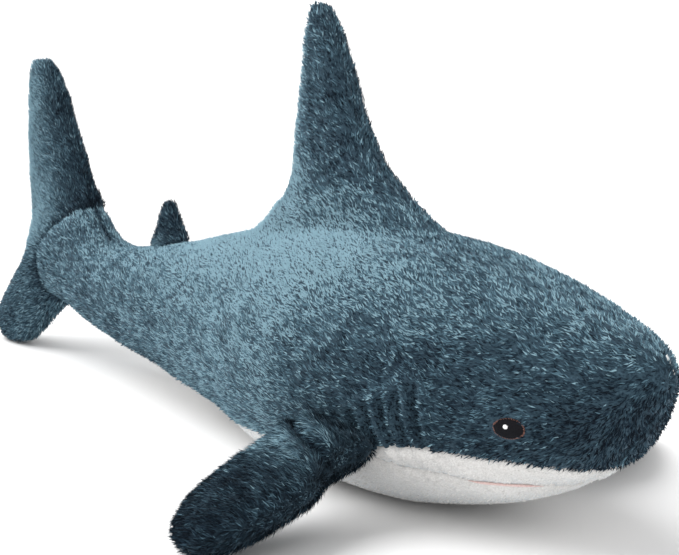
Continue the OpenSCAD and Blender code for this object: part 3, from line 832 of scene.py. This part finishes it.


# ---- Pile: short tufts that lie along the nap ----

# Tones of the blue pile. The tone functions below pick them partly at random and partly as painted light
# and shade.
PILE_TONES = [
    plain("pile_blue_deep", (0.003, 0.007, 0.013), 0.05),
    plain("pile_blue_dark", (0.011, 0.024, 0.038), 0.1),
    plain("pile_blue_mid", (0.034, 0.066, 0.092), 0.2),
    plain("pile_blue_light", (0.088, 0.163, 0.210), 0.25),
    plain("pile_blue_pale", (0.225, 0.360, 0.425), 0.25),
]
WHITE_TONES = [
    plain("pile_white_shade", (0.60, 0.59, 0.575), 0.15),
    plain("pile_white", (0.73, 0.72, 0.705), 0.15),
]


def pile(name, co, normals, faces, density, size, lift, flow, tones, tone_of, seed, slot, bodies):
    """Tufts over these faces. size is (length, half width), lift the angle off the cloth."""
    rng = np.random.default_rng(seed)
    corner = np.vstack([faces[:, [0, 1, 2]], faces[:, [0, 2, 3]]])
    a, b, c = co[corner[:, 0]], co[corner[:, 1]], co[corner[:, 2]]
    area = np.linalg.norm(np.cross(b - a, c - a), axis=1) / 2
    count = int(area.sum() * density)
    chosen = rng.choice(len(corner), count, p=area / area.sum())
    u, v = rng.random(count), rng.random(count)
    over = u + v > 1
    u[over], v[over] = 1 - u[over], 1 - v[over]
    weight = np.stack([1 - u - v, u, v], axis=1)[:, :, None]
    p = (co[corner[chosen]] * weight).sum(1)
    n = (normals[corner[chosen]] * weight).sum(1)
    # Tufts neither root in a gill tuck nor lie across it.
    tuck = gill_distance(p)[0] if bodies is TORSO else np.full(count, 1.0)
    laid_over = gill_distance(p - (0.7 * size[0], 0, 0))[0] if bodies is TORSO else tuck
    bare = (tuck < 1.6 * MM) | (laid_over < 1.6 * MM)
    for eye in eye_frames:
        bare |= in_eye(eye, p, MM)
    p, n, tuck, count = p[~bare], n[~bare], tuck[~bare], int((~bare).sum())
    n = unit(n)
    t = flow(p)
    t = unit(t - n * (t * n).sum(1, keepdims=True))
    swirl = 0.5 * hash_noise(p, 16 * MM, seed) + rng.normal(0, 0.36, count)
    side = np.cross(n, t)
    t = np.cos(swirl)[:, None] * t + np.sin(swirl)[:, None] * side
    side = np.cross(n, t)
    by_gill = 1 - 0.4 * bell(tuck, 8 * MM)
    length = size[0] * (by_gill * rng.uniform(0.6, 1.35, count))[:, None]
    half = size[1] * rng.uniform(0.7, 1.3, count)[:, None]
    rise = (lift + rng.normal(0, 0.12, count)).clip(0.08, 1.3)[:, None]
    root = p - 0.2 * MM * n
    tilt = rng.normal(0, 0.35, count)[:, None]
    across = side * np.cos(tilt) + n * np.sin(tilt)
    tip = p + length * (np.cos(rise) * t + np.sin(rise) * n)
    belly_of_leaf = root + 0.4 * length * (np.cos(1.3 * rise) * t + np.sin(1.3 * rise) * n)
    verts = np.stack([root, belly_of_leaf + half * across, tip, belly_of_leaf - half * across], axis=1)
    verts = verts.reshape(-1, 3)
    verts[:, 2] = np.maximum(verts[:, 2], 0.2 * MM)
    leaves = np.arange(4 * count).reshape(-1, 4)
    thing = make_object(name, verts, leaves.tolist(), tones, smooth=False)
    tone = tone_of(p, n) + rng.normal(0, 0.8, count)
    tone = np.clip(np.round(tone), 0, len(tones) - 1).astype(int)
    thing.data.polygons.foreach_set("material_index", tone)
    follow(thing, bodies)


def plush_piece(name, co, normals, faces, slot, bodies, nodes, look, seed):
    """A piece of cloth made of these faces, and its pile. look is as in PILES."""
    sheet = part_of_mesh(co, normals, faces)
    add_piece(name + "_cloth", with_thickness(*sheet, CLOTH), slot, bodies, nodes)
    pile(name + "_pile", *sheet, *look, seed, slot, bodies)


def each_way(p, x, y, z):
    """The direction (x, y, z) at each point of p, where each part is a number or a number per point."""
    return np.stack([np.full(len(p), part, float) for part in (x, y, z)], axis=1)


def torso_nap(p):
    """Towards the tail, rising on the tail stock and the dorsal fin."""
    rise = np.interp(p[:, 0], (0.10, 0.30, 0.42), (0.75, 0.45, -0.10))
    fin = clamp((p[:, 2] - back_top + 30 * MM) / (60 * MM))
    rise += fin * (0.9 - rise)
    return each_way(p, -1, 0, rise)


def chord_share(co, foot, tip):
    """A function of points that is 0 on a fin's leading edge and 1 on its trailing edge."""
    levels, front, back = chord_ends(co, foot, tip, 16)

    def share(p):
        lead, trail = np.interp(p[:, 2], levels, front), np.interp(p[:, 2], levels, back)
        return clamp((lead - p[:, 0]) / (lead - trail))

    return share


dorsal_chord = chord_share(
    torso_co[torso_co[:, 0] > 0], back_top + 20 * MM, torso_co[:, 2].max() - 3 * MM)
tail_chord = chord_share(tail_co, tail_root_z, tail_top - 6 * MM)


def blue_tone_and_light(p, n):
    """0 is the deepest tone of the pile and 4 the palest. Random tone, with painted light and shade on
    top of it.
    """
    shade = 1.75 + 0.4 * hash_noise(p, 60 * MM, 21) + 0.4 * hash_noise(p, 14 * MM, 22)
    # Strokes along the nap, as a hand leaves them in the pile.
    shade += 1.2 * hash_noise(p * (0.4, 1, 1), 2.8 * MM, 24)
    # Painted light: surfaces that face up are paler.
    shade += 0.6 * np.clip(n[:, 2], -0.2, 1)
    # Painted light: paler behind the head (x under 0.30) and on the top of the back and head, with less
    # of it towards the tail stock. Painted shade on the front and underside of the snout.
    shade += 1.85 * clamp((0.30 - p[:, 0]) / 0.12)
    shade += 1.6 * clamp((p[:, 2] - 0.13) / 0.05)
    snout = clamp((p[:, 0] - 0.40) / 0.09) * clamp((0.13 - p[:, 2]) / 0.05 + 0.3)
    stock = clamp((0.02 - p[:, 0]) / 0.18)
    shade -= 0.85 * stock + 1.4 * snout
    # Painted shade in the slit where the seam along the ridge before the tail fin is pulled in.
    ridge = clamp((TAIL_ZONE + 55 * MM - p[:, 0]) / (15 * MM)) * (n[:, 2] > 0)
    shade -= 3 * ridge * bell(over_middle(p), 2.2 * MM)
    # Painted shade in the gill tucks and painted light on the rolls between them.
    away, depth = gill_distance(p)
    shade += depth * (1.5 * bell(away - 7 * MM, 2.8 * MM) - 6 * bell(away, 3.4 * MM))
    # On the dorsal fin the painted light above is taken back, with painted sheen towards its trailing
    # edge and painted shade along its leading edge.
    fin = clamp((p[:, 2] - back_top + 25 * MM) / (60 * MM))
    chord = dorsal_chord(p)
    sheen_edge = 3.4 * clamp((chord - 0.6) / 0.4)
    return shade + fin * (sheen_edge - 0.6 * bell(chord - 0.14, 0.12) - 3.35)


def tail_nap(p):
    return each_way(p, -1, 0, np.interp(p[:, 2] - tail_root_z, (-25 * MM, 25 * MM), (-0.5, 1.2)))


def tail_tone_and_light(p, n):
    """Painted sheen, pale towards the trailing edge where the pile lies flat, and painted shade, deep
    behind the leading seam; random blotches besides.
    """
    upper = clamp((p[:, 2] - tail_root_z) / (30 * MM) + 0.5)
    blotch = 0.5 * hash_noise(p, 30 * MM, 33) + 0.8 * hash_noise(p, 3 * MM, 34)
    # Painted sheen: paler towards the trailing edge.
    shade = 0.9 + 4.5 * tail_chord(p)
    shade = upper * shade + (1 - upper) * 2.1 + blotch
    # Painted shade behind the seam at the fin's root.
    return shade - 1.2 * bell(over_root(p), 9 * MM)


def white_tone(p, n):
    return 0.7 + 0.5 * hash_noise(p, 20 * MM, 23)


# Tufts to a square metre, their length and half width, lift, nap, tones and choice of tone.
PILES = {
    "blue_plush": (400e3, (4.4 * MM, 0.46 * MM), 0.40, torso_nap, PILE_TONES, blue_tone_and_light),
    "dark_blue_plush": (600e3, (5.2 * MM, 0.42 * MM), 0.45, tail_nap, PILE_TONES, tail_tone_and_light),
    "white_plush": (260e3, (2.0 * MM, 0.4 * MM), 0.3, torso_nap, WHITE_TONES, white_tone),
}
for number, (name, (slot, bodies, nodes)) in enumerate(TORSO_PIECES.items()):
    chosen = torso_faces[kind == number]
    plush_piece(name, torso_co, torso_normals, chosen, slot, bodies, nodes, PILES[slot], number)


# ---- Rear dorsal fin and pectoral fins ----

rear_nodes = "right_rear_dorsal_panel", "left_rear_dorsal_panel"
rear_co, rear_faces, rear_edges = fin_form("rear_dorsal", rear_nodes, 3, 0.8 * MM)
rear_foot = rear_co[:, 2].min() + 6 * MM
rear_co[rear_co[:, 2] < rear_foot, 2] -= 8 * MM  # its root runs on into the stock
rear_co[:, 0] = narrowed(rear_co, rear_foot, 0.45, 1.6)
rear_tip_x = rear_co[rear_co[:, 2].argmax(), 0]
trailing = np.minimum(rear_co[:, 0] - rear_tip_x, 0)
rear_co[:, 0] -= 0.38 * trailing
rear_lean = np.polyfit(rear_co[:, 2], rear_co[:, 1], 1)


def rear_middle(p):
    return p[:, 1] - np.polyval(rear_lean, p[:, 2])


def rear_nap(p):
    return each_way(p, -1, 0, 1)


def rear_tone(p, n):
    foot = clamp((rear_foot + 14 * MM - p[:, 2]) / (14 * MM))
    return 1.5 + 1.2 * foot + 0.8 * hash_noise(p, 9 * MM, 36)


rear_co, rear_left, rear_away = cut_in_two(rear_co, rear_faces, rear_edges, rear_middle)
rear_normals = normals_of(rear_co, rear_faces)
rear_co -= (0.8 * MM * bell(rear_away, 2.2 * MM))[:, None] * rear_normals
rear_look = 700e3, (4.2 * MM, 0.4 * MM), 0.5, rear_nap, PILE_TONES, rear_tone
for side, chosen in (("right", ~rear_left), ("left", rear_left)):
    name = side + "_rear_dorsal"
    plush_piece(name, rear_co, rear_normals, rear_faces[chosen], "dark_blue_plush",
                ("tail_stock",), (name + "_panel",), rear_look, 45 + SIDES[side])


def bowed(run):
    """How far the fold over a pectoral's root bows outwards, run metres before the hinge."""
    return 26 * MM * (run / (60 * MM) - 0.35) ** 2


def pectoral(side):
    sign = SIDES[side]
    joint = JOINTS[side + "_pectoral_flap"]
    hinge = np.array(joint["pos_m"])
    filling = side + "_pectoral_filling"
    nodes = side + "_pectoral_upper_panel", side + "_pectoral_lower_panel", filling
    co, faces, edges = fin_form(side + "_pectoral", nodes, 7, 1.5 * MM)
    inner = np.abs(co[:, 1]) < abs(hinge[1])
    co[inner, 1] = hinge[1] + 1.9 * (co[inner, 1] - hinge[1])  # the root runs on into the body
    points = co[~inner]
    middle = points.mean(0)
    up = own_axes(points)[0]
    up = up * np.sign(up[2])
    out = np.cross(up, (1, 0, 0))
    out = out / np.linalg.norm(out)
    out = out * np.sign(out[1] * sign)

    def over_fin(p):
        return (p - middle) @ up

    co, upper, away = cut_in_two(co, faces, edges, over_fin)
    co = inflated(co, faces, away, 3 * MM)
    normals = normals_of(co, faces)
    span = (co - hinge) @ out
    run = co[:, 0] - hinge[0]
    # The front of the root is drawn in where the fold pinches it.
    pinch = clamp(1 - span / (45 * MM))
    co[:, 0] -= np.maximum(run, 0) * 0.42 * pinch * pinch * (3 - 2 * pinch)
    run = co[:, 0] - hinge[0]
    relief = seam_relief(co, away)
    top = clamp((normals @ up) * 1.5)
    # A rolled fold across the root in a bow, with a crease and a softer roll beyond it.
    bow = span + bowed(run) + 3 * MM * hash_noise(co, 40 * MM, 52)
    relief += top * (3.5 * MM * bell(bow, 7 * MM) - 5.0 * MM * bell(bow - 11 * MM, 3.6 * MM))
    relief += top * 2.0 * MM * bell(bow - 22 * MM, 8 * MM)
    co = co + relief[:, None] * normals
    co[:, 2] = np.maximum(co[:, 2], 0.5 * MM)
    normals = normals_of(co, faces)
    reach = np.abs(co[:, 1]).max() - abs(hinge[1])
    start, end = (0, hinge[1] - sign * 20 * MM, 0), (0, hinge[1] + sign * 10 * MM, 0)
    bodies = "trunk", side + "_pectoral", start, end

    def nap(p):
        return each_way(p, -0.45, sign, 0.25)

    def tone(p, n):
        far = (np.abs(p[:, 1]) - abs(hinge[1])) / reach
        fold = (p - hinge) @ out + bowed(p[:, 0] - hinge[0])
        shade = 1.3 + 0.6 * hash_noise(p, 26 * MM, 53) + 0.5 * hash_noise(p, 10 * MM, 54)
        shade += hash_noise(p * (1, 0.6, 1), 3 * MM, 55)
        # Painted light on the upper face, part way out along the fin.
        shade += 2.0 * bell(far - 0.24, 0.15) * clamp(n @ up)
        shade -= 0.7 * clamp((far - 0.55) / 0.3)
        # Painted highlight on the roll of the fold and painted shade in the crease beyond it.
        shade += 1.5 * bell(fold, 5 * MM) - 1.8 * bell(fold - 11 * MM, 5 * MM)
        # Painted shade: the underside is given a dark tone.
        return np.where(n @ up < -0.2, 0.7, shade)

    pectoral_trees[filling] = BVHTree.FromPolygons([Vector(v) for v in co], faces.tolist())
    look = 700e3, (6.0 * MM, 0.42 * MM), 0.6, nap, PILE_TONES, tone
    for layer, chosen in (("upper", upper), ("lower", ~upper)):
        name = f"{side}_pectoral_{layer}"
        plush_piece(name, co, normals, faces[chosen], "dark_blue_plush", bodies,
                    (name + "_panel",), look, 61 + sign)


pectoral_trees = {}
for side in SIDES:
    pectoral(side)


# ---- Stuffing ----

FILLED = "trunk", "dorsal", "tail_stock", "tail_fin", "right_pectoral", "left_pectoral"


def kept_inside(co, tree, depth):
    """The points, with those less than depth under the cloth drawn in to it."""
    out = co.copy()
    for i, p in enumerate(co):
        spot, normal = tree.find_nearest(Vector(p))[:2]
        if (Vector(p) - spot).dot(normal) > -depth:
            out[i] = spot - depth * normal
    return out


for number, part in enumerate(FILLED):
    name = part + "_filling"
    body = "trunk" if part == "dorsal" else part
    co, faces = remeshed(name, [node_mesh(name)], 6 * MM)
    edges = edges_of(faces)
    co = smoothed(co, edges, 6)
    if name == "tail_fin_filling":
        co[:, 0] = tail_hinge_x - 8 * MM + 0.75 * np.minimum(co[:, 0] - tail_hinge_x, 0)
        co[:, 0] = narrowed(co, tail_root_z, 0.7, 3)
    normals = normals_of(co, faces)
    co += (1.2 * MM * hash_noise(co, 22 * MM, 70 + number) - 5 * MM)[:, None] * normals
    co = kept_inside(co, pectoral_trees.get(name, torso_tree), 4 * MM)
    add_piece(name + "_fibre", (co, faces.tolist()), "fibre", (body,), (name,))


# ---- Embroidery, stitches, lining and label ----

def tube_along(points, normals, half_width, half_height, profile, sides=8):
    """A closed bar along points, flattened across the normals, with the profile's share of its size."""
    points, normals = np.array(points), np.array(normals)
    across = np.cross(unit(np.gradient(points, axis=0)), normals)
    turn = 2 * math.pi * np.arange(sides) / sides
    verts = []
    for p, n, c, share in zip(points, normals, across, profile):
        for t in turn:
            verts.append(p + share * (half_width * math.cos(t) * c + half_height * math.sin(t) * n))
    faces = grid_faces(len(points), sides)
    faces.append(tuple(range(sides))[::-1])
    faces.append(tuple(range((len(points) - 1) * sides, len(points) * sides)))
    return verts, faces


STITCH_PROFILE = np.sin(np.linspace(0.25, math.pi - 0.25, 6))


def stitch(p, q, n, radius):
    """One visible stitch: a short rounded bar from p to q, arched off the cloth."""
    shares = np.linspace(0, 1, len(STITCH_PROFILE))
    points = [p + (q - p) * t + n * radius * (math.sin(math.pi * t) - 0.3) for t in shares]
    return tube_along(points, [n] * len(points), radius, radius, STITCH_PROFILE, 6)


def on_torso(p, out):
    """The torso's surface under p, looking along -out, and its normal there."""
    spot, normal = torso_tree.ray_cast(Vector(p + 30 * MM * out), Vector(-out))[:2]
    return np.array(spot), np.array(normal)


def eye_spot(eye, u, v, lift):
    """A point of the cloth under the eye at u along and v up, lifted off it."""
    middle, long, short, normal = eye[:4]
    spot = on_torso(middle + u * long + v * short, normal)[0]
    return spot + lift * normal


def dome(eye, centre, half, height, rings, spokes):
    """Satin stitching: a low dome of close parallel threads on the cloth, with a rim under it."""
    verts = []
    for i in range(rings + 2):
        r = min(1, i / rings)
        for j in range(spokes):
            t = 2 * math.pi * j / spokes
            u, v = r * half[0] * math.cos(t), r * half[1] * math.sin(t)
            thread = 0.10 * MM * math.cos(2 * math.pi * (u + 0.3 * v) / (0.9 * MM))
            rise = height * math.sqrt(max(0, 1 - 0.98 * r * r)) + thread * (1 - r ** 6)
            lift = 0.3 * MM + rise if i <= rings else -MM
            verts.append(eye_spot(eye, centre[0] + u, centre[1] + v, lift))
    faces = [(a, d, c, b) for a, b, c, d in grid_faces(rings + 2, spokes)]
    faces.append(tuple(range((rings + 1) * spokes, (rings + 2) * spokes)))
    return verts, faces


def eye_ring(eye, half, seed):
    """Short stitches side by side round the pupil, of uneven length."""
    rng = np.random.default_rng(seed)
    count = 54
    parts = []
    for j in range(count):
        t = 2 * math.pi * (j + rng.uniform(-0.25, 0.25)) / count
        inner, outer = rng.uniform(0.86, 0.93), rng.uniform(0.96, 1.02)
        t2 = t + rng.uniform(0.02, 0.08)
        p = eye_spot(eye, inner * half[0] * math.cos(t), inner * half[1] * math.sin(t), 1.15 * MM)
        q = eye_spot(eye, outer * half[0] * math.cos(t2), outer * half[1] * math.sin(t2), 0.75 * MM)
        parts.append(stitch(p, q, eye[3], rng.uniform(0.18, 0.30) * MM))
    return joined(parts)


for number, (side, eye) in enumerate(zip(SIDES, eye_frames)):
    middle, long, short, _, *half = eye
    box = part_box(side + "_eye_highlight")
    spot = np.array((box[0] + box[1]) / 2) - middle
    centre = (float(spot @ long) - 2.0 * MM, float(spot @ short) + 1.4 * MM)
    parts = {
        "pupil": (dome(eye, (0, 0), (0.95 * half[0], 0.95 * half[1]), 1.5 * MM, 40, 96), "black_thread"),
        "ring": (eye_ring(eye, half, 80 + number), "brown_thread"),
        "highlight": (dome(eye, centre, (2.4 * MM, 2.1 * MM), 2.1 * MM, 14, 36), "white_thread"),
    }
    for part, (mesh, thread) in parts.items():
        node = f"{side}_eye_{part}"
        add_piece(node + "_stitching", mesh, thread, ("trunk",), (node,))


def cloth_stitch(p, q, out, lift, radius):
    """A stitch on the torso's cloth between the spots under p and q, looking along -out."""
    ends = [on_torso(end, out) for end in (p, q)]
    last_normal = ends[1][1]
    return stitch(*[spot + lift * normal for spot, normal in ends], last_normal, radius)


def gill_thread(side):
    """A running stitch at the bottom of each tuck."""
    sign = SIDES[side]
    parts = []
    for low, high in GILL_LINES:
        if low[1] * sign < 0:
            continue
        count = max(3, int(np.linalg.norm(high - low) / (5 * MM)))
        for i in range(count):
            ends = [low + (i + share) / count * (high - low) for share in (0.15, 0.75)]
            parts.append(cloth_stitch(*ends, np.array((0, sign, 0.0)), 0.4 * MM, 0.45 * MM))
    return joined(parts)


for side in SIDES:
    node = side + "_gill_stitches"
    add_piece(side + "_gill_thread", gill_thread(side), "blue_thread", ("trunk",), (node,))


def lining():
    """A thin edge of pink cloth in the lip's seam, on both sides."""
    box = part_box("mouth_lining")
    parts = []
    for sign in SIDES.values():
        points, normals = [], []
        for x in np.linspace(box[0].x, box[1].x, 24):
            p = np.array((x, 0.0, np.interp(x, along, lip_line)))
            spot, normal = on_torso(p + np.array((0, sign * 0.09, 0)), np.array((0, sign, 0.0)))
            points.append(spot + 0.35 * MM * normal)
            normals.append(normal)
        profile = np.clip(np.sin(np.linspace(0.1, math.pi - 0.1, 24)) * 1.6, 0.15, 1)
        parts.append(tube_along(points, normals, MM, 0.9 * MM, profile))
    return joined(parts)


add_piece("mouth_lining_edge", lining(), "pink_plush", ("trunk",), ("mouth_lining",))


def closing_stitches():
    """Hand-sewn ladder stitches across the belly's closing seam."""
    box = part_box(CLOSING)
    down = np.array((0, 0, -1.0))
    parts = []
    for x in np.linspace(box[0].x, box[1].x, 8):
        ends = [np.array((x + 0.2 * y, y, 0.05)) for y in (-3.2 * MM, 3.2 * MM)]
        parts.append(cloth_stitch(*ends, down, 0.9 * MM, 0.5 * MM))
    return joined(parts)


CLOSING = "belly_closing_stitches"
add_piece("belly_closing_thread", closing_stitches(), "white_thread", ("tail_stock",), (CLOSING,))


def label():
    """A ribbon folded in two, its ends caught in the seam."""
    points = node_points("care_label")
    middle = points.mean(0)
    normal, hang, wide = own_axes(points)
    hang = hang * np.sign(-hang[2])
    half_wide = np.abs((points - middle) @ wide).max()
    half_hang = np.abs((points - middle) @ hang).max()
    turn = np.linspace(0, math.pi, 9)
    gap, thick = 0.9 * MM, 0.25 * MM
    path = [(-half_hang - 3 * MM + t * 2 * half_hang, gap) for t in np.linspace(0, 0.93, 10)]
    reach = path[-1][0]
    path += [(reach + gap * 1.2 * math.sin(t), gap * math.cos(t)) for t in turn[1:]]
    path += [(h, -gap) for h, _ in path[8::-1]]
    rows = []
    for h, g in path:
        row = []
        for w in np.linspace(-1, 1, 12):
            wave = 0.8 * MM * math.sin(3 * w + h / (9 * MM)) * (h + half_hang) / (2 * half_hang)
            row.append(middle + h * hang + (g + wave) * normal + w * half_wide * wide)
        rows.append(row)
    rows = np.array(rows)
    co = rows.reshape(-1, 3)
    faces = np.array(grid_faces(*rows.shape[:2], closed=False))
    return with_thickness(co, normals_of(co, faces), faces, thick)


add_piece("care_label_ribbon", label(), "label_ribbon", ("tail_stock",), ("care_label",))
